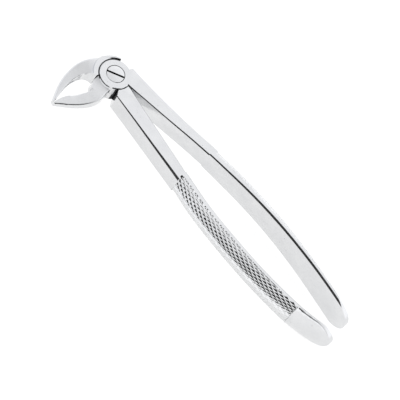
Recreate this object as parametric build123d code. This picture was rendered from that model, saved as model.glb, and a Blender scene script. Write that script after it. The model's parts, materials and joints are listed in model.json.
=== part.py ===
from build123d import *
import math
import os

# Extraction forceps for lower teeth, English pattern.
#
# Two forged steel levers cross at a flat lap joint and turn on one slotted screw.
# X runs from the hinge towards the handle ends, Y across the handles towards the
# front lever's grip, and Z along the hinge axis. Z = 0 is the flat back of the joint.
# All sizes are in millimetres. The jaws are shut: the beak tips meet.

# ---- overall sizes ---------------------------------------------------------------
joint_thickness = 10.4      # both halves of the lap joint together
handle_length = 152.4       # hinge axis to the end of the longer handle
beak_length = 31.6          # hinge axis to the beak tips, along -Y
grip_depth = 17.0           # deepest part of the grips, along Z

# ---- the lap joint ---------------------------------------------------------------
disc_radius = 7.45          # the half-thickness disc each lever carries
recess_clearance = 0.4      # between a disc and the shoulder that follows it
lap_clearance = 0.06        # between the two flat lap faces
opening_angle = 25.0        # degrees, where the shoulders meet
stop_margin = 1.0           # degrees left between the shoulders at that angle
boss_radius = 10.2          # raised shoulder around the disc on the full-thickness side
rim_chamfer = 0.4           # broken edge of the discs and shoulders
boss_flare = 3.0            # how far the raised shoulder runs out into the beak
disc_flare = 2.3            # the same on the disc's own side
boss_foot = 0.55            # height where the shoulder runs out, as a share of half
disc_foot = 0.4             # the same on the disc's own side

# ---- the joint screw -------------------------------------------------------------
screw_head_radius = 4.35
screw_head_height = 2.3
screw_pin_radius = 3.0
head_clearance = 0.08       # around the screw head
running_clearance = 0.06    # front lever's bore around the screw pin
slot_width = 0.95
slot_depth = 1.1
slot_turn = 31.0            # degrees from X

# ---- beaks -----------------------------------------------------------------------
beak_edge_radius = 0.85     # rounding of the outer long edges
hollow_depth = 0.85         # the inner faces are ground hollow by this much
hollow_rim = 0.6            # bright rim left along each inner edge
tip_gap = 0.13              # daylight left between the shut tips

# ---- shanks and grips ------------------------------------------------------------
panel_end = 54.0            # ground flat panels run from the joint to here
panel_taper = 0.3           # each panel stands this much further out at its end
grip_step = 0.8             # the grips stand this much outside the panels
front_handle_short = 2.0    # the front lever's handle ends this much earlier
inner_bevel_joint = 0.3     # bevel of the inner long edges, at the joint
inner_bevel_grip = 0.5      # the same where the grip starts
inner_bevel_palm = 0.75     # the same from the middle of the grip on
outer_bevel_joint = 0.3     # bevel of the shanks' outer long edges, at the joint
outer_bevel_grip = 0.85     # the same where the grip starts
palm_start = 92.0           # the inner bevel has its full size from here
forging_ridge = 0.45        # raised parting ridge along the outer side
tongue_length = 11.5        # the handle ends are half ellipses this long

half = joint_thickness / 2
recess_radius = disc_radius + recess_clearance

# The handle stations below were drawn for a 152.4 mm handle, the beak outlines for a
# 31.6 mm beak. A changed overall size reaches them through these.
drawn_handle, drawn_beak = 152.4, 31.6
beak_root = 8.0             # the beak outlines stretch only below this distance
stretch = (beak_length - beak_root) / (drawn_beak - beak_root)


def along_handle(x):
    """Stretch a handle station beyond the joint, leaving the joint end alone."""
    start = 9.0
    if x <= start:
        return x
    return start + (x - start) * (handle_length - start) / (drawn_handle - start)


def along_beak(x, y):
    """Stretch an outline point below the beak root."""
    if y >= -beak_root:
        return (x, y)
    return (x, -beak_root + (y + beak_root) * stretch)


def outline(points):
    return [along_beak(x, y) for x, y in points]


def about_hinge(radius, degrees):
    """A point at this distance and direction from the hinge axis."""
    turn = math.radians(degrees)
    return (radius * math.cos(turn), radius * math.sin(turn))


def turned(points, degrees):
    """The points swung about the hinge axis."""
    swung = []
    for x, y in points:
        radius = math.hypot(x, y)
        swung.append(about_hinge(radius, math.degrees(math.atan2(y, x)) + degrees))
    return swung


def between(x, start, first, end, last):
    """A value that runs evenly from first at start to last at end, and stays there."""
    share = min(1.0, max(0.0, (x - start) / (end - start)))
    return first + (last - first) * share


# ---- shanks ----------------------------------------------------------------------
# Each station: distance from the hinge, inner face, outer side.
front_shank = [
    (2.0, 1.1, 9.35),
    (9.0, 1.5, 9.6),
    (20.0, 3.3, 10.4),
    (30.0, 5.0, 11.4),
    (40.0, 6.85, 12.65),
    (48.0, 8.2, 13.9),
    (55.0, 9.3, 15.0),
]
rear_shank = [
    (5.0, 1.2, -7.2),
    (9.0, 0.95, -7.6),
    (20.0, -0.8, -8.6),
    (30.0, -2.3, -9.6),
    (40.0, -3.75, -10.6),
    (48.0, -4.95, -11.35),
    (55.0, -6.1, -12.1),
]


def shank_section(x, inner, outer):
    """A flat-faced bar: bevelled long edges and a raised ridge along the outer side."""
    side = 1 if outer > inner else -1
    face = half + panel_taper * max(0, x - disc_radius) / panel_end
    b = between(x, disc_radius, inner_bevel_joint, panel_end, inner_bevel_grip)
    c = between(x, disc_radius, outer_bevel_joint, panel_end, outer_bevel_grip)
    side_line = outer - side * forging_ridge
    corners = [
        (inner, -face + b), (inner, face - b), (inner + side * b, face),
        (side_line - side * c, face), (side_line, face - c), (outer, 0),
        (side_line, -face + c), (side_line - side * c, -face), (inner + side * b, -face),
    ]
    across = Plane(origin=(along_handle(x), 0, 0), x_dir=(0, 1, 0), z_dir=(1, 0, 0))
    return across * make_face(Polyline(*corners, close=True))


def shank(stations):
    return loft([shank_section(*station) for station in stations])


# ---- grips -----------------------------------------------------------------------
# Each station: distance from the hinge, inner face of the front and of the rear
# lever, how far the depth has grown from the panel to its greatest, thickness of the
# edge, rise of the domed outer face.
grip_stations = [
    (panel_end, 9.15, -5.95, 0.0, 2.8, 3.8),
    (62.0, 9.95, -7.1, 0.12, 2.6, 4.0),
    (72.0, 10.95, -8.4, 0.22, 2.4, 4.1),
    (82.0, 11.65, -9.05, 0.34, 2.3, 4.0),
    (92.0, 11.95, -9.35, 0.46, 2.2, 4.0),
    (102.0, 11.85, -9.5, 0.58, 2.1, 3.8),
    (112.0, 11.35, -9.35, 0.70, 2.0, 3.6),
    (122.0, 10.5, -8.75, 0.84, 2.0, 3.2),
    (132.0, 9.3, -7.75, 0.96, 1.9, 2.7),
    (140.0, 8.2, -6.2, 1.0, 1.6, 2.4),
    (147.0, 7.1, -4.4, 1.0, 1.4, 1.8),
    (153.5, 6.0, -2.8, 1.0, 1.2, 1.0),
]


def grip_section(x, inner, side, growth, edge, rise):
    """Flat inner face with bevelled edges, narrow flat edges and a domed outer face."""
    start = half + grip_step
    d = start + (grip_depth / 2 - start) * growth
    b = between(x, panel_end, inner_bevel_grip, palm_start, inner_bevel_palm)
    shoulder = inner + side * edge
    crown = inner + side * (edge + rise)
    edges = [
        Line((inner, -d + b), (inner, d - b)),
        Line((inner, d - b), (inner + side * b, d)),
        Line((inner + side * b, d), (shoulder, d)),
        ThreePointArc((shoulder, d), (crown, 0), (shoulder, -d)),
        Line((shoulder, -d), (inner + side * b, -d)),
        Line((inner + side * b, -d), (inner, -d + b)),
    ]
    across = Plane(origin=(along_handle(x), 0, 0), x_dir=(0, 1, 0), z_dir=(1, 0, 0))
    return across * make_face(edges)


def grip(side, end):
    """Loft one grip and round its end off as a half ellipse seen from the side."""
    sections = []
    for x, front_inner, rear_inner, growth, edge, rise in grip_stations:
        inner = front_inner if side > 0 else rear_inner
        sections.append(grip_section(x, inner, side, growth, edge, rise))
    bar = loft(sections)
    centre = end - tongue_length
    side_view = Plane(origin=(0, -40, 0), x_dir=(1, 0, 0), z_dir=(0, 1, 0))
    tongue = Pos(centre, 0) * Ellipse(tongue_length, grip_depth / 2 + 0.05)
    body = Pos((centre + 20) / 2, 0) * Rectangle(centre - 20, 3 * grip_depth)
    keep = extrude(side_view * (tongue + body), amount=80)
    return bar & keep


# ---- beaks -----------------------------------------------------------------------
# The outlines are seen along the hinge axis. They start and end inside the disc.
neck_edge = outline([(4.95, -12.2), (4.5, -9.6), (4.1, -7.4), (4.3, -5.2)])
front_beak_outer = outline([
    (-5.4, -31.5), (-3.1, -28.7), (0.2, -24.6), (2.1, -21.6), (3.7, -18.3),
    (4.7, -15.0),
]) + neck_edge
front_beak_inner = outline([
    (-4.05, -9.0), (-3.6, -10.3), (-2.5, -11.6), (-1.6, -12.7), (-1.2, -14.1),
    (-1.35, -15.6), (-2.2, -18.0), (-3.0, -20.3), (-4.5, -23.0), (-5.8, -26.0),
    (-6.4, -28.7), (-6.5, -31.6),
])
crescent = [
    about_hinge(recess_radius + width, degrees)
    for width, degrees in ((0.85, 119), (1.1, 133), (1.4, 151), (2.1, 172))
]
rear_beak_outer = crescent + outline([
    (-11.15, -1.2),
    (-12.6, -3.9), (-13.7, -6.9), (-14.35, -10.2), (-14.3, -13.8), (-13.8, -17.4),
    (-12.8, -21.0), (-11.3, -24.6), (-9.4, -28.2), (-7.75, -31.2),
])
rear_beak_inner = outline([
    (-6.5 - tip_gap, -31.6), (-7.0, -29.6), (-7.8, -26.8), (-8.8, -23.0),
    (-9.4, -20.3), (-9.65, -17.9), (-9.55, -14.8), (-9.1, -12.1), (-8.0, -9.6),
    (-6.2, -8.3), (-4.5, -7.9),
])

# Half depth of the beaks along Z, as a share of half the joint. The side that carries
# the disc falls away sooner, which leaves the neck scooped below the disc's rim.
boss_side = [
    (9.5, 0.86), (0.0, 0.86), (-4.0, 0.84), (-8.0, 0.76), (-12.0, 0.63), (-16.0, 0.52),
    (-20.0, 0.435), (-24.0, 0.37), (-28.0, 0.32), (-32.0, 0.27),
]
disc_side = [
    (9.5, 0.86), (0.0, 0.86), (-5.0, 0.82), (-8.5, 0.66), (-12.0, 0.60), (-16.0, 0.52),
    (-20.0, 0.435), (-24.0, 0.37), (-28.0, 0.32), (-32.0, 0.27),
]


def beak_depth_profile(own):
    """The beaks seen along the handles, as a face in the YZ plane."""
    upper = disc_side if own > 0 else boss_side
    lower = boss_side if own > 0 else disc_side
    top = [(along_beak(0, y)[1], f * half) for y, f in upper]
    bottom = [(along_beak(0, y)[1], -f * half) for y, f in lower]
    end_view = Plane(origin=(-30, 0, 0), x_dir=(0, 1, 0), z_dir=(1, 0, 0))
    edges = [
        Spline(*top), Line(top[-1], bottom[-1]), Spline(*reversed(bottom)),
        Line(bottom[0], top[0]),
    ]
    return extrude(end_view * make_face(edges), amount=60)


def beak_blank(face, own):
    """One beak cut from the solid, with its two outer long edges rounded."""
    solid = extrude(face, amount=half, both=True) & beak_depth_profile(own)
    long_edges = solid.edges().sort_by(SortBy.LENGTH)[-2:]
    return fillet(long_edges, beak_edge_radius)


def boss(own):
    """Round shoulder about the hinge: wide on one side, the disc itself on the other."""
    near = (disc_radius, disc_radius + disc_flare, disc_foot * half)
    wide = (boss_radius, boss_radius + boss_flare, boss_foot * half)
    top_in, top_out, top_foot = near if own > 0 else wide
    low_in, low_out, low_foot = wide if own > 0 else near
    upper = ThreePointArc(
        (top_in, half),
        (top_in + 0.3 * (top_out - top_in), half - 0.7 * (half - top_foot)),
        (top_out, top_foot),
    )
    lower = ThreePointArc(
        (low_out, -low_foot),
        (low_in + 0.3 * (low_out - low_in), -half + 0.7 * (half - low_foot)),
        (low_in, -half),
    )
    edges = [
        Line((0, half), (top_in, half)), upper, Line((top_out, top_foot), (low_out, -low_foot)),
        lower, Line((low_in, -half), (0, -half)), Line((0, -half), (0, half)),
    ]
    return revolve(Plane.XZ * make_face(edges), Axis.Z)


def hollow():
    """The lens-shaped space that grinding leaves between the two inner faces."""
    stations = [
        (-11.5, -5.8, 3.3, 0.64), (-14.5, -5.35, 4.15, 0.555), (-18.3, -6.0, 3.65, 0.47),
        (-20.5, -6.2, 3.1, 0.425), (-23.0, -6.7, 2.1, 0.385), (-26.0, -6.9, 1.1, 0.345),
        (-28.7, -6.85, 0.45, 0.31),
    ]
    sections = []
    for y, middle, gap, depth in stations:
        width = gap + hollow_depth * min(1.0, 0.45 + gap)
        rise = (depth * half - hollow_rim) / math.sqrt(1 - (gap / width) ** 2)
        level = Plane(
            origin=(middle, along_beak(0, y)[1], 0), x_dir=(1, 0, 0), z_dir=(0, -1, 0)
        )
        sections.append(level * Ellipse(width, rise))
    return loft(sections)


def front_beak_face():
    edges = [
        Spline(*front_beak_outer),
        Line(front_beak_outer[-1], (-2.5, -4.5)),
        Line((-2.5, -4.5), (-4.0, -6.0)),
        Line((-4.0, -6.0), front_beak_inner[0]),
        Spline(*front_beak_inner),
        Line(front_beak_inner[-1], front_beak_outer[0]),
    ]
    return make_face(edges)


def rear_beak_face():
    edges = [
        Spline(*rear_beak_outer),
        Line(rear_beak_outer[-1], rear_beak_inner[0]),
        Spline(*rear_beak_inner),
        Line(rear_beak_inner[-1], (-4.25, -6.3)),
        Line((-4.25, -6.3), (-2.6, -4.0)),
        Line((-2.6, -4.0), (-3.1, 5.7)),
        Line((-3.1, 5.7), rear_beak_outer[0]),
    ]
    return make_face(edges)


# ---- joint -----------------------------------------------------------------------
def disc(own):
    """Half-thickness disc with a broken outer rim."""
    height = half - lap_clearance / 2
    blank = Pos(0, 0, own * (lap_clearance / 2 + height / 2)) * Cylinder(disc_radius, height)
    rim = blank.edges().filter_by(GeomType.CIRCLE).sort_by(Axis.Z)
    return chamfer(rim[-1] if own > 0 else rim[0], rim_chamfer)


def recess(own):
    """The space cut for the other lever's disc, opened a little at the face."""
    depth = half + lap_clearance / 2 + 1
    start = own * lap_clearance / 2
    well = Pos(0, 0, start - own * depth / 2) * Cylinder(recess_radius, depth)
    flare = Cone(recess_radius, recess_radius + rim_chamfer, rim_chamfer)
    if own > 0:
        flare = Rot(180, 0, 0) * flare
    return well + Pos(0, 0, -own * (half - rim_chamfer / 2)) * flare


def corner_cut(points):
    """A full-height prism used to trim a shank end to its slanted shoulder."""
    return extrude(make_face(Polyline(*points, close=True)), amount=2 * half, both=True)


def front_lever():
    own = 1
    stem = shank(front_shank)
    stem -= corner_cut([(1.0, 4.0), (1.9, 6.9), (3.1, 10.5), (-2.0, 12.0), (-2.0, 4.0)])
    face = front_beak_face()
    beak = beak_blank(face, own) - hollow()
    collar = extrude(face, amount=half, both=True) & boss(own)
    body = stem + grip(1, handle_length - front_handle_short) + beak + (collar - hollow())
    body = body - recess(own) + disc(own)
    head_well = screw_head_height + lap_clearance
    body -= Cylinder(screw_pin_radius + running_clearance, 3 * half)
    body -= Pos(0, 0, half - head_well / 2 + 0.5) * Cylinder(
        screw_head_radius + head_clearance, head_well + 1
    )
    return body


def rear_lever():
    own = -1
    stem = shank(rear_shank)
    stop = turned(neck_edge, opening_angle + stop_margin)
    stem -= corner_cut(stop + [(2.0, -5.0), (2.0, -14.0)])
    face = rear_beak_face()
    beak = beak_blank(face, own) - hollow()
    collar = extrude(face, amount=half, both=True) & boss(own)
    body = stem + grip(-1, handle_length) + beak + (collar - hollow())
    body = body - recess(own) + disc(own)
    body -= Cylinder(screw_pin_radius, 3 * half)
    return body


def joint_screw():
    """Slotted screw: fast in the rear lever, flush with the joint at both ends."""
    head = Pos(0, 0, half - screw_head_height / 2) * Cylinder(
        screw_head_radius, screw_head_height
    )
    head = chamfer(head.edges().filter_by(GeomType.CIRCLE).sort_by(Axis.Z)[-1], 0.25)
    pin_length = joint_thickness - screw_head_height
    pin_middle = half - screw_head_height - pin_length / 2
    pin = Pos(0, 0, pin_middle) * Cylinder(screw_pin_radius, pin_length)
    pin = chamfer(pin.edges().filter_by(GeomType.CIRCLE).sort_by(Axis.Z)[0], 0.35)
    slot = Box(3 * screw_head_radius, slot_width, 2 * slot_depth)
    return head + pin - Pos(0, 0, half) * Rot(0, 0, slot_turn) * slot


# ---- write the parts, lifted so that Z = 0 is the back of the joint -----------------
os.makedirs("parts", exist_ok=True)
lift = Pos(0, 0, half)
for name, build in (
    ("front_lever", front_lever), ("rear_lever", rear_lever), ("joint_screw", joint_screw),
):
    solid = lift * build()
    export_step(solid, f"parts/{name}.step")
    print(name, "volume", round(solid.volume, 1), "solids", len(solid.solids()))
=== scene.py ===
# %% [markdown]
# # Extraction forceps
#
# A dentist's extraction forceps is two forged steel levers that cross at a flat lap
# joint and turn on one slotted screw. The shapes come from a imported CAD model, which is
# the fixed frame here. This file gives them the look of the real tool: satin steel
# with a fine ground grain, real cut knurling on the grips, and the white light tent
# that such tools are shown in.

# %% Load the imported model
import json
import math
import bpy
import bmesh
from mathutils import Matrix, Vector
from mathutils.bvhtree import BVHTree


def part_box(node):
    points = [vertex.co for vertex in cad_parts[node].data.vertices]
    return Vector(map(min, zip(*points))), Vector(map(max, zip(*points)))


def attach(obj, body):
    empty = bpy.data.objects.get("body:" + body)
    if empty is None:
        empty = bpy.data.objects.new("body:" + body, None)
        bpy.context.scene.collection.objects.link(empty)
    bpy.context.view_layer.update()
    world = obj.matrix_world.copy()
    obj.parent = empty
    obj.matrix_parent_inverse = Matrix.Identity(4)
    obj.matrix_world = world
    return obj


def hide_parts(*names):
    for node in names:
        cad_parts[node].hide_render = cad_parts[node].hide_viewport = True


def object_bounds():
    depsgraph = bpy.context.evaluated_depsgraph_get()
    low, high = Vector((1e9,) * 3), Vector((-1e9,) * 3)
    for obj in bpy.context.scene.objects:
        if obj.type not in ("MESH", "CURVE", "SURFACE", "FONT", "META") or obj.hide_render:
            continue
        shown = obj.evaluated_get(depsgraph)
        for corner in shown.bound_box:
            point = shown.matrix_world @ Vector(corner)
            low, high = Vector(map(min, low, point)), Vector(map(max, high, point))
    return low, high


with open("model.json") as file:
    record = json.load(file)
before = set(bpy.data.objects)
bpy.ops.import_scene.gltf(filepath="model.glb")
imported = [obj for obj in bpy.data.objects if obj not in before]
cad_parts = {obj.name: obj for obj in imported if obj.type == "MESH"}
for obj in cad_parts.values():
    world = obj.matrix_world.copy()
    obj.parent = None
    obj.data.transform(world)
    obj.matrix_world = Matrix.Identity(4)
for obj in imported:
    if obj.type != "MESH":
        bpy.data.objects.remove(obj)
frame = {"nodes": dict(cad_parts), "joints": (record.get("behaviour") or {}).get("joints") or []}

MM = 0.001
UM = 0.001 * MM
cad_low, cad_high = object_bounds()
print("whole box in mm", [round(side / MM, 1) for side in cad_high - cad_low])

# %% [markdown]
# ## The camera
#
# The tool is looked at from well above, with the handles running away to the lower
# right. A long lens from two metres away keeps the two handles in proportion; a short
# lens close up would swell the beaks. The camera is set by directions, not by dragging:
# what is right, what is up, and the way back to the lens.

# %% Camera
RIGHT = Vector((0.6495, 0.6829, 0.3345))
UP = Vector((-0.7513, 0.5086, 0.4205))
LOOKED_AT = Vector((66.1, -2.9, -0.6)) * MM
LENS = 400.0
SENSOR = 36.0
SEEN_WIDTH = 177.0 * MM
CLIP_NEAR, CLIP_FAR = 0.05, 20.0      # metres

toward_lens = RIGHT.cross(UP).normalized()
up = toward_lens.cross(RIGHT).normalized()
right = up.cross(toward_lens).normalized()
lens_distance = SEEN_WIDTH * LENS / SENSOR

camera_data = bpy.data.cameras.new("camera")
camera_data.lens = LENS
camera_data.sensor_width = SENSOR
camera_data.clip_start = CLIP_NEAR
camera_data.clip_end = CLIP_FAR
camera = bpy.data.objects.new("camera", camera_data)
bpy.context.scene.collection.objects.link(camera)
turn = Matrix((right, up, toward_lens)).transposed()
place = Matrix.Translation(LOOKED_AT + toward_lens * lens_distance)
camera.matrix_world = place @ turn.to_4x4()
bpy.context.scene.camera = camera
print("camera distance in m", round(lens_distance, 2))

# %% [markdown]
# ## The light
#
# Polished steel has hardly any colour of its own: it shows what is round it. Such tools
# are shown in a white tent, with a black card beside the lens, and the card is what
# draws the crisp black lines along the bevelled edges. Lamps alone would leave the flat
# faces black or burnt out. So the tent is a world colour that depends only on direction:
# white everywhere, with a soft grey patch overhead and the black card on the lens side.

# %% Node helpers
def add_node(tree, kind, inputs=None, **settings):
    """Add a node, set its properties, and fill or link its inputs."""
    node = tree.nodes.new(kind)
    for name, value in settings.items():
        setattr(node, name, value)
    for key, value in (inputs or {}).items():
        if isinstance(value, bpy.types.NodeSocket):
            tree.links.new(value, node.inputs[key])
        else:
            node.inputs[key].default_value = value
    return node


def calculate(tree, operation, first, second=0.0):
    """One step of arithmetic on two numbers or sockets."""
    node = add_node(tree, "ShaderNodeMath", {0: first, 1: second}, operation=operation)
    return node.outputs[0]


def smooth_range(tree, value, start, end):
    """0 before start, 1 after end, and a smooth step between them."""
    node = add_node(
        tree,
        "ShaderNodeMapRange",
        {"Value": value, "From Min": start, "From Max": end, "To Min": 0.0, "To Max": 1.0},
        interpolation_type="SMOOTHSTEP",
    )
    return node.outputs["Result"]


def mix_colour(tree, share, first, second):
    """The first colour where share is 0, the second where it is 1."""
    inputs = {"Factor": share, "A": first, "B": second}
    return add_node(tree, "ShaderNodeMix", inputs, data_type="RGBA").outputs["Result"]


print("node helpers ready")

# %% Light tent
TENT_STRENGTH = 1.3
# Where a direction points in the plane across the handles: 0 is level and behind the
# tool, 90 straight up, 180 level on the lens side. Each row: degrees, grey.
TENT_TONES = (
    (0.0, 1.0), (45.0, 1.0), (55.0, 0.88), (67.0, 0.78), (78.0, 0.66),
    (90.0, 0.40), (98.0, 0.10), (104.0, 0.02), (153.0, 0.015), (162.0, 1.0),
)
TENT_TINT = (0.99, 0.995, 1.01)
SIDE_TONE = (0.86, 0.87, 0.90, 1.0)      # past the ends of the handles
PLAIN_WHITE = (1.0, 1.0, 1.0, 1.0)       # what the camera sees behind the tool
HALF_TURN = 180.0
CARD_LEFT, CARD_RIGHT = -38.0, 82.0      # the card's ends, degrees along the handles
CARD_SOFT = 7.0

world = bpy.data.worlds.new("light_tent")
bpy.context.scene.world = world
world.use_nodes = True
tree = world.node_tree
tree.nodes.clear()

direction = add_node(tree, "ShaderNodeTexCoord").outputs["Generated"]
x, y, z = add_node(tree, "ShaderNodeSeparateXYZ", {0: direction}).outputs
height = calculate(tree, "MULTIPLY", calculate(tree, "ARCTAN2", z, y), 1.0 / math.pi)
along = calculate(tree, "MULTIPLY", calculate(tree, "ARCSINE", x), math.degrees(1.0))
tones = add_node(tree, "ShaderNodeValToRGB", {"Fac": height})
ramp = tones.color_ramp
for place, (degrees, grey) in enumerate(TENT_TONES):
    # a new ramp has two stops already
    stop = ramp.elements[place] if place < 2 else ramp.elements.new(degrees / HALF_TURN)
    stop.position = degrees / HALF_TURN
    stop.color = (*(grey * part for part in TENT_TINT), 1.0)
card_span = calculate(
    tree,
    "MULTIPLY",
    smooth_range(tree, along, CARD_LEFT, CARD_LEFT + CARD_SOFT),
    smooth_range(tree, along, CARD_RIGHT, CARD_RIGHT - CARD_SOFT),
)
colour = mix_colour(tree, card_span, SIDE_TONE, tones.outputs["Color"])
sky = add_node(tree, "ShaderNodeBackground", {"Color": colour, "Strength": TENT_STRENGTH})
plain = add_node(tree, "ShaderNodeBackground", {"Color": PLAIN_WHITE})
seen = add_node(tree, "ShaderNodeLightPath").outputs["Is Camera Ray"]
choice = {0: seen, 1: sky.outputs[0], 2: plain.outputs[0]}
either = add_node(tree, "ShaderNodeMixShader", choice)
add_node(tree, "ShaderNodeOutputWorld", {"Surface": either.outputs[0]})
bpy.context.scene.view_settings.view_transform = "Standard"
print("tent tones", len(ramp.elements))

# %% [markdown]
# ## The floor
#
# A white light table, just under the lowest point of the grips. It glows a little, so
# that the tool hardly throws a shadow, and it is also what the undersides and the inner
# faces of the handles reflect.

# %% Floor
FLOOR_SIZE = 6.0
FLOOR_GAP = 0.05 * MM
FLOOR_WHITE = (0.30, 0.30, 0.30, 1.0)
FLOOR_GLOW = 0.90
FLOOR_ROUGHNESS = 0.9

floor_mesh = bpy.data.meshes.new("floor")
shape = bmesh.new()
bmesh.ops.create_grid(shape, x_segments=1, y_segments=1, size=FLOOR_SIZE / 2)
shape.to_mesh(floor_mesh)
shape.free()
floor = bpy.data.objects.new("floor", floor_mesh)
bpy.context.scene.collection.objects.link(floor)
floor.location = (LOOKED_AT.x, LOOKED_AT.y, cad_low.z - FLOOR_GAP)
paper = bpy.data.materials.new("white_sheet")
paper.use_nodes = True
sheet_shader = paper.node_tree.nodes["Principled BSDF"]
sheet_shader.inputs["Base Color"].default_value = FLOOR_WHITE
sheet_shader.inputs["Roughness"].default_value = FLOOR_ROUGHNESS
sheet_shader.inputs["Specular IOR Level"].default_value = 0.0
sheet_shader.inputs["Emission Color"].default_value = PLAIN_WHITE
sheet_shader.inputs["Emission Strength"].default_value = FLOOR_GLOW
floor_mesh.materials.append(paper)
print("floor at z in mm", round(floor.location.z / MM, 2))

# %% [markdown]
# ## The steels
#
# Stainless steel is one material with several finishes here. The levers are belt ground
# and buffed, which leaves faint lines along their length and a slightly wavy surface.
# The knurled faces are left as cut, so each small facet is bright. The screw is turned.
# The faces inside the joint are painted near black: painted shade for the dark gaps, the
# slot and the recess walls of the joint. Four materials could be made by hand, but one
# recipe with different numbers keeps them alike enough to belong together. Its patterns
# follow the object, so they move with it.

# %% Pattern helpers
NOISE_ROUGHNESS = 0.6
NOISE_SPREAD = (0.3, 0.7)      # nearly all of a noise's values lie in here


def noise(tree, where, scale, detail):
    """Noise from 0 to 1 about the object's own axes; the scale may differ by axis."""
    placed = add_node(tree, "ShaderNodeMapping", {"Vector": where, "Scale": scale})
    inputs = {
        "Vector": placed.outputs[0],
        "Scale": 1.0,
        "Detail": detail,
        "Roughness": NOISE_ROUGHNESS,
    }
    return add_node(tree, "ShaderNodeTexNoise", inputs).outputs["Fac"]


def raise_by(tree, height, depth, normal=None):
    """Bump by a height, on top of an earlier bump if one is given."""
    inputs = {"Height": height, "Strength": 1.0, "Distance": depth}
    if normal is not None:
        inputs["Normal"] = normal
    return add_node(tree, "ShaderNodeBump", inputs).outputs["Normal"]


def between(tree, share, low, high):
    """Take a noise's usual spread to the range from low to high."""
    start, end = NOISE_SPREAD
    inputs = {"Value": share, "From Min": start, "From Max": end, "To Min": low, "To Max": high}
    return add_node(tree, "ShaderNodeMapRange", inputs).outputs["Result"]


print("pattern helpers ready")

# %% Steel finishes
CLOUD_SCALE = (140.0, 140.0, 140.0)      # cloudy tone, about 7 mm across
WAVE_SCALE = (70.0, 130.0, 130.0)        # slow waves from the belt, longest along X
FLECK_SCALE = (900.0, 900.0, 900.0)      # small marks, under a millimetre across
FLECK_START, FLECK_END = 0.74, 0.80      # only the peaks of the noise become marks
MARK_TONE = 0.7                          # a mark's colour, as a share of the dark tone
MARK_ROUGHNESS = 0.15                    # and how much rougher it is
ROUGHNESS_SPREAD = 0.03
LIGHT_STEEL = ((0.69, 0.695, 0.705, 1.0), (0.745, 0.75, 0.755, 1.0))
CUT_STEEL = ((0.68, 0.685, 0.69, 1.0), (0.78, 0.785, 0.79, 1.0))
# near black: painted shade for the gaps, slot and recess walls of the joint
JOINT_SHADE_TONES = ((0.020, 0.020, 0.022, 1.0), (0.045, 0.045, 0.048, 1.0))


def steel(name, dark, light, roughness, grain_scale, grain_depth, wave_depth):
    """Stainless steel: cloudy tone, grain lines, slow waves and a few small marks."""
    material = bpy.data.materials.new(name)
    material.use_nodes = True
    tree = material.node_tree
    shader = tree.nodes["Principled BSDF"]
    shader.inputs["Metallic"].default_value = 1.0
    where = add_node(tree, "ShaderNodeTexCoord").outputs["Object"]
    cloud = noise(tree, where, CLOUD_SCALE, 4.0)
    grain = noise(tree, where, grain_scale, 3.0)
    waves = noise(tree, where, WAVE_SCALE, 1.0)
    flecks = noise(tree, where, FLECK_SCALE, 1.0)
    mark = smooth_range(tree, flecks, FLECK_START, FLECK_END)
    tone = mix_colour(tree, between(tree, cloud, 0.0, 1.0), dark, light)
    mark_colour = (*(MARK_TONE * part for part in dark[:3]), 1.0)
    worn = mix_colour(tree, mark, tone, mark_colour)
    tree.links.new(worn, shader.inputs["Base Color"])
    uneven = between(tree, grain, roughness - ROUGHNESS_SPREAD, roughness + ROUGHNESS_SPREAD)
    rougher = calculate(tree, "MULTIPLY", mark, MARK_ROUGHNESS)
    tree.links.new(calculate(tree, "ADD", uneven, rougher), shader.inputs["Roughness"])
    waved = raise_by(tree, waves, wave_depth)
    lined = raise_by(tree, grain, grain_depth, waved)
    tree.links.new(lined, shader.inputs["Normal"])
    return material


GROUND_GRAIN = (60.0, 2200.0, 2200.0)    # fine lines along X
CUT_GRAIN = (2600.0, 2600.0, 2600.0)
JOINT_SHADE_GRAIN = (1500.0, 1500.0, 1500.0)
TURNED_GRAIN = (300.0, 300.0, 300.0)

# roughness, grain, depth of the grain, depth of the waves
ground_steel = steel("ground_steel", *LIGHT_STEEL, 0.15, GROUND_GRAIN, 1.2 * UM, 24 * UM)
knurled_steel = steel("knurled_steel", *CUT_STEEL, 0.11, CUT_GRAIN, 2 * UM, 2 * UM)
# painted shade: the near-black steel for the faces inside the joint
painted_shade_steel = steel("painted_shade_steel", *JOINT_SHADE_TONES, 0.45, JOINT_SHADE_GRAIN, 3 * UM, 2 * UM)
turned_steel = steel("turned_steel", *LIGHT_STEEL, 0.14, TURNED_GRAIN, 1 * UM, 6 * UM)
print("steels", [m.name for m in (ground_steel, knurled_steel, painted_shade_steel, turned_steel)])

# %% [markdown]
# ## The screw's finish
#
# A lathe leaves fine rings about the screw's axis, and its head has a very low crown, so
# one half looks white and the other grey. The rings are far too fine to model, so both
# are a bump that depends on the distance from the hinge axis, over the steel's own bump.

# %% Turned rings on the screw
RING_PITCH = 0.12 * MM
RING_DEPTH = 0.35 * UM
CROWN_SLOPE = 0.10            # tilt at the rim of the head
screw_low, screw_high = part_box("joint_screw")
HEAD_RADIUS = (screw_high.x - screw_low.x) / 2


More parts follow.
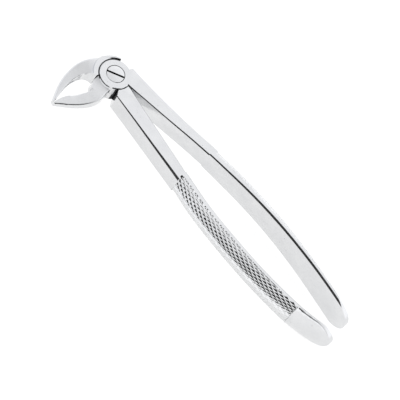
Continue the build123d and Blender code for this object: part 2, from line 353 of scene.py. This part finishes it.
def add_rings(material):
    """Bump rings and a low crown about the hinge axis, over the material's own bump."""
    tree = material.node_tree
    shader = tree.nodes["Principled BSDF"]
    own_bump = shader.inputs["Normal"].links[0].from_socket
    where = add_node(tree, "ShaderNodeTexCoord").outputs["Object"]
    flat = add_node(tree, "ShaderNodeMapping", {"Vector": where, "Scale": (1.0, 1.0, 0.0)})
    length = add_node(tree, "ShaderNodeVectorMath", {0: flat.outputs[0]}, operation="LENGTH")
    radius = length.outputs["Value"]
    turns = calculate(tree, "MULTIPLY", radius, 2 * math.pi / RING_PITCH)
    rings = calculate(tree, "SINE", turns)
    bowl = calculate(tree, "MULTIPLY", radius, radius)
    crown = calculate(tree, "MULTIPLY", bowl, -CROWN_SLOPE / (2 * HEAD_RADIUS))
    crowned = raise_by(tree, crown, 1.0, own_bump)
    tree.links.new(raise_by(tree, rings, RING_DEPTH, crowned), shader.inputs["Normal"])


add_rings(turned_steel)
print("screw head radius in mm", round(HEAD_RADIUS / MM, 2))

# %% [markdown]
# ## The forged levers
#
# Each lever is one forging, and its shape is the CAD model's. The CAD mesh is left as it
# is; a copy is merged, because it comes as loose triangles, and the copy gets what a
# polisher adds: softened edges and the knurling. Edges that turn sharply stay crisp in
# the shading and the rest is smooth, with large flat faces weighing most, so that a flat
# face reflects as a flat face right up to its edge.

# %% Lever copies
SMOOTH_ANGLE = math.radians(24.0)
WELD = 0.0001 * MM
LARGE_FACES_FIRST = 100        # the modifier's strongest setting


def new_piece(name, mesh):
    """Put a mesh into the scene as an object at the origin."""
    piece = bpy.data.objects.new(name, mesh)
    bpy.context.scene.collection.objects.link(piece)
    return piece


def merged_copy(node, name):
    """A copy of a CAD node with its loose triangles joined up."""
    mesh = bpy.data.meshes.new(name)
    shape = bmesh.new()
    shape.from_mesh(frame["nodes"][node].data)
    bmesh.ops.remove_doubles(shape, verts=shape.verts, dist=WELD)
    shape.to_mesh(mesh)
    shape.free()
    mesh.materials.clear()
    mesh.attributes.remove(mesh.attributes["custom_normal"])
    return new_piece(name, mesh)


def apply_modifiers(piece):
    """Freeze the piece's modifiers into its mesh."""
    graph = bpy.context.evaluated_depsgraph_get()
    finished = bpy.data.meshes.new_from_object(piece.evaluated_get(graph))
    piece.modifiers.clear()
    piece.data = finished


def cut_away(piece, cutter):
    """Subtract the cutter from the piece, then throw the cutter away."""
    cut = piece.modifiers.new("cut", "BOOLEAN")
    cut.operation = "DIFFERENCE"
    cut.solver = "MANIFOLD"
    cut.object = cutter
    apply_modifiers(piece)
    bpy.data.objects.remove(cutter)


def smooth_to_edges(piece, angle):
    """Shade smooth, except across edges that turn by more than the angle."""
    mesh = piece.data
    mesh.polygons.foreach_set("use_smooth", [True] * len(mesh.polygons))
    mesh.set_sharp_from_angle(angle=angle)
    weighted = piece.modifiers.new("flat_faces_first", "WEIGHTED_NORMAL")
    weighted.keep_sharp = True
    weighted.weight = LARGE_FACES_FIRST


front_forging = merged_copy("front_lever", "front_forging")
rear_forging = merged_copy("rear_lever", "rear_forging")
slotted_screw = merged_copy("joint_screw", "slotted_screw")
print("copies", [piece.name for piece in (front_forging, rear_forging, slotted_screw)])

# %% [markdown]
# ## Softened edges
#
# The buffing wheel rounds some edges more than the rest: the front edges of the tongues
# past the knurling, and the rims of the beaks. These narrow facets catch the black card
# or the white tent and draw the lines that make the steel look polished. They are
# bevelled in the mesh by choosing edges by where they lie and how sharply they turn.

# %% Soften chosen edges
KNURL_START, KNURL_END = 54.9 * MM, 132.8 * MM
joint_middle = frame["joints"][0]["pos_m"][2]
TONGUE_EDGE = 0.42 * MM
BEAK_RIM = 0.45 * MM
BEAK_START, BEAK_TIP = -13.0 * MM, -29.5 * MM    # the beaks run towards -Y
GAP_MIDDLE = -5.0 * MM         # X of the line between the two beaks
LEVEL, SLOPING = 0.12, 0.3     # how far a face's normal leans along Y
FACES_UP, FACES_SIDEWAYS = 0.8, 0.4      # and along Z


def soften(piece, chosen, width, segments):
    """Bevel the edges that the chosen test picks, and count them."""
    shape = bmesh.new()
    shape.from_mesh(piece.data)
    edges = [edge for edge in shape.edges if len(edge.link_faces) == 2 and chosen(edge)]
    bmesh.ops.bevel(
        shape,
        geom=edges,
        offset=width,
        offset_type="OFFSET",
        segments=segments,
        profile=0.5,
        affect="EDGES",
        clamp_overlap=False,
        material=-1,
    )
    shape.to_mesh(piece.data)
    shape.free()
    return len(edges)


def on_tongue_edge(edge, side):
    """The edge round the dome of the tongue, past the knurling."""
    level, slope = sorted((face.normal.y for face in edge.link_faces), key=abs)
    past = min(corner.co.x for corner in edge.verts) > KNURL_END
    return past and abs(level) < LEVEL and side * slope > SLOPING


def on_beak_rim(edge):
    """The sharp edge between a beak's front face and the gap between the beaks."""
    wall, front = sorted(edge.link_faces, key=lambda face: face.normal.z)
    middle = (edge.verts[0].co + edge.verts[1].co) / 2
    along_beak = BEAK_TIP < middle.y < BEAK_START
    inward = wall.normal.x * (middle.x - GAP_MIDDLE) < 0
    crisp = front.normal.z > FACES_UP and abs(wall.normal.z) < FACES_SIDEWAYS
    return along_beak and inward and crisp


for piece, side in ((front_forging, 1), (rear_forging, -1)):
    tongue_edges = soften(piece, lambda edge: on_tongue_edge(edge, side), TONGUE_EDGE, 2)
    rim_edges = soften(piece, on_beak_rim, BEAK_RIM, 2)
    print(piece.name, tongue_edges, "tongue edges and", rim_edges, "rim edges softened")

# %% [markdown]
# ## The knurling
#
# The outsides of the grips are knurled so that a wet glove doesn't slip: two sets of
# V grooves cross at a low angle and leave rows of small pyramids. A bump map would give
# a smooth outline and wrong highlights, so the grooves are cut. A sheet is divided
# along the two groove directions, wrapped over the dome of the grip with its grooves
# pushed in, given thickness on the outside, and subtracted from the forging.

# %% Measure the dome of a grip
MEASURE_STEP = 2.0 * MM
BAND_INSETS = (3.5 * MM, 4.4 * MM)   # from the crown back to the flat edge, thin or thick
OUTSIDE = 60.0 * MM          # rays start this far out
FIRST_STATION = -0.25        # in steps, so that the rows begin before the knurling
NEAR_EDGE = 0.97             # the dome's rise is read this far out towards its edge


def measure_dome(piece, side):
    """At each station along the grip: x, centre of the dome's arc, radius, half its arc."""
    shape = bmesh.new()
    shape.from_mesh(piece.data)
    tree = BVHTree.FromBMesh(shape)
    shape.free()
    rows = []
    stations = int((KNURL_END - KNURL_START) / MEASURE_STEP) + 2
    for step in range(stations):
        x = KNURL_START + (step + FIRST_STATION) * MEASURE_STEP
        inward = Vector((0, -side, 0))
        crown = tree.ray_cast(Vector((x, side * OUTSIDE, joint_middle)), inward)[0].y
        depth = 0.0
        for inset in BAND_INSETS:
            hit = tree.ray_cast(Vector((x, crown - side * inset, OUTSIDE)), Vector((0, 0, -1)))[0]
            if hit is not None:
                depth = max(depth, hit.z - joint_middle)
        near_edge = NEAR_EDGE * depth
        start = Vector((x, side * OUTSIDE, joint_middle + near_edge))
        rise = abs(crown - tree.ray_cast(start, inward)[0].y)
        radius = (near_edge ** 2 + rise ** 2) / (2 * rise)
        rows.append((x, crown - side * radius, radius, radius * math.asin(depth / radius)))
    return rows


def dome_at(rows, x):
    """The dome between the measured stations."""
    place = (x - rows[0][0]) / MEASURE_STEP
    first = min(max(int(place), 0), len(rows) - 2)
    share = place - first
    pairs = zip(rows[first][1:], rows[first + 1][1:])
    return [low + (high - low) * share for low, high in pairs]


for piece, side in ((front_forging, 1), (rear_forging, -1)):
    rows = measure_dome(piece, side)
    print(piece.name, "dome radius in mm", [round(row[2] / MM, 1) for row in rows[::8]])

# %% Cut the knurling
GROOVE_A = (2.0 * MM, 0.96 * MM)     # along one set of grooves: along X, round the dome
GROOVE_B = (1.67 * MM, -0.87 * MM)   # along the other set
CELL_STEPS = 6                       # divisions of each diamond
GROOVE_DEPTH = 0.42 * MM
GROOVE_WIDTH = 0.42                  # half a groove's width, as a share of the pitch
CREST_DROP = 0.03 * MM               # the pyramids end just under the dome
SHEET_CLEARANCE = 0.12 * MM          # the sheet stands off the dome round the knurling
KNURL_FADE = 0.35 * MM               # over which the grooves reach their full depth
OVERRUN = 0.5 * MM                   # the grooves run out through the dome's edges
SHEET_REACH = 11.0 * MM              # the sheet is laid out this far round the dome
STOCK = 5.0 * MM                     # solid outside the sheet, thicker than any groove
KNURLED = 1                          # the levers' second material


def groove(place):
    """1 at the bottom of the nearest groove, 0 on the crest between two."""
    return max(0.0, 1.0 - abs(place - round(place)) / GROOVE_WIDTH)


def fade(distance):
    """0 at a border, 1 once well inside it."""
    share = min(1.0, max(0.0, distance / KNURL_FADE))
    return share * share * (3.0 - 2.0 * share)


def knurl_sheet(rows, side):
    """The knurled face of a grip, with solid stock on its outside."""
    (ax, around_a), (bx, around_b) = GROOVE_A, GROOVE_B
    area = ax * around_b - bx * around_a
    low_x, high_x = rows[0][0], rows[-1][0]
    arcs = (-SHEET_REACH, SHEET_REACH)
    corners = [(x - low_x, arc) for x in (low_x, high_x) for arc in arcs]
    spans = []
    for along, around, sign in ((around_b, bx, 1.0), (around_a, ax, -1.0)):
        values = [sign * (x * along - arc * around) / area for x, arc in corners]
        spans.append((math.floor(min(values)), math.ceil(max(values))))
    (u_low, u_high), (v_low, v_high) = spans
    shape = bmesh.new()
    bmesh.ops.create_grid(
        shape,
        x_segments=(u_high - u_low) * CELL_STEPS,
        y_segments=(v_high - v_low) * CELL_STEPS,
        size=0.5,
    )
    outside = []
    for corner in shape.verts:
        u = u_low + (corner.co.x + 0.5) * (u_high - u_low)
        v = v_low + (corner.co.y + 0.5) * (v_high - v_low)
        x = low_x + u * ax + v * bx
        around = u * around_a + v * around_b
        centre, radius, half_arc = dome_at(rows, x)
        if not low_x <= x <= high_x or abs(around) > half_arc + 3 * OVERRUN:
            outside.append(corner)
            continue
        across = fade(half_arc + OVERRUN - abs(around))
        inside = fade(x - KNURL_START) * fade(KNURL_END - x) * across
        sunk = CREST_DROP + GROOVE_DEPTH * max(groove(u), groove(v))
        height = radius + (1.0 - inside) * SHEET_CLEARANCE - inside * sunk
        angle = around / radius
        corner.co = (
            x,
            centre + side * height * math.cos(angle),
            joint_middle + height * math.sin(angle),
        )
    bmesh.ops.delete(shape, geom=outside, context="VERTS")
    stray = [corner for corner in shape.verts if not corner.link_faces]
    bmesh.ops.delete(shape, geom=stray, context="VERTS")
    faces = list(shape.faces)
    stock = bmesh.ops.extrude_face_region(shape, geom=faces, use_keep_orig=True)
    moved = [part for part in stock["geom"] if isinstance(part, bmesh.types.BMVert)]
    bmesh.ops.translate(shape, verts=moved, vec=(0, side * STOCK, 0))
    bmesh.ops.recalc_face_normals(shape, faces=shape.faces)
    for face in shape.faces:
        face.material_index = KNURLED
    mesh = bpy.data.meshes.new("knurl_stock")
    shape.to_mesh(mesh)
    shape.free()
    return new_piece("knurl_stock", mesh)


for piece, side in ((front_forging, 1), (rear_forging, -1)):
    cut_away(piece, knurl_sheet(measure_dome(piece, side), side))
    print(piece.name, "has", len(piece.data.polygons), "faces")

# %% [markdown]
# ## Finishing
#
# The faces inside the joint are painted near black as shade: the walls of the round
# recesses, the lap faces, and the bottom of the screw's slot. They are picked by their
# place and the way they face. Then each piece takes the place of its CAD node and rides
# on the lever that it belongs to; the screw is pressed into the rear lever and turns with it.

# %% Painted shade in the joint
RECESS_RADIUS = 8.1 * MM       # takes in the discs' sides and the walls round them
GAP_SIDE = -0.35               # walls that lean this far along X line the open gap
NOTCH_SIDE = 0.75              # and these the notch between the discs and the shanks
WALL_LEAN = 0.5                # a wall's normal leans less than this along Z
LAP_BAND = 0.2 * MM            # the lap faces lie this near the joint's middle
# these slots hold the near-black steel, painted shade for the joint's gaps and the screw's slot
JOINT_SHADE_INDEX = 2                      # the levers' third material
SLOT_SHADE_INDEX = 1                 # the screw's second
SLOT_INSET = 0.2 * MM          # the slot's faces lie this far inside the head


def in_joint(face):
    """Walls of the recess and of the discs, and the faces that lap."""
    middle = face.calc_center_median()
    outward = face.normal.x * math.copysign(1.0, face.normal.dot(middle))
    wall = abs(face.normal.z) < WALL_LEAN
    lapped = abs(middle.z - joint_middle) < LAP_BAND
    open_side = outward < GAP_SIDE or outward > NOTCH_SIDE
    return middle.xy.length < RECESS_RADIUS and (lapped or wall and open_side)


def in_slot(face):
    """The slot's floor and walls, and the pin below the head."""
    middle = face.calc_center_median()
    below_top = middle.z < screw_high.z - SLOT_INSET
    return middle.xy.length < HEAD_RADIUS - SLOT_INSET and below_top


def paint_joint_shade(piece, chosen, slot):
    """Give the chosen faces the material in this slot."""
    shape = bmesh.new()
    shape.from_mesh(piece.data)
    faces = [face for face in shape.faces if chosen(face)]
    for face in faces:
        face.material_index = slot
    shape.to_mesh(piece.data)
    shape.free()
    print(piece.name, len(faces), "faces painted as shade")


# paint the joint's gaps, recess walls and slot near black as shade
paint_joint_shade(front_forging, in_joint, JOINT_SHADE_INDEX)
paint_joint_shade(rear_forging, in_joint, JOINT_SHADE_INDEX)
paint_joint_shade(slotted_screw, in_slot, SLOT_SHADE_INDEX)

# %% Finish the pieces
lever_steels = (ground_steel, knurled_steel, painted_shade_steel)
screw_steels = (turned_steel, painted_shade_steel)
for piece, node, body, slot, steels in (
    (front_forging, "front_lever", "front_half", "front_lever_steel", lever_steels),
    (rear_forging, "rear_lever", "rear_half", "rear_lever_steel", lever_steels),
    (slotted_screw, "joint_screw", "rear_half", "screw_steel", screw_steels),
):
    smooth_to_edges(piece, SMOOTH_ANGLE)
    indexes = [face.material_index for face in piece.data.polygons]
    piece.data.materials.clear()
    for finish in steels:
        piece.data.materials.append(finish)
    piece.data.polygons.foreach_set("material_index", indexes)
    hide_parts(node)
    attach(piece, body)
    print(piece.name, len(piece.data.polygons), "faces")
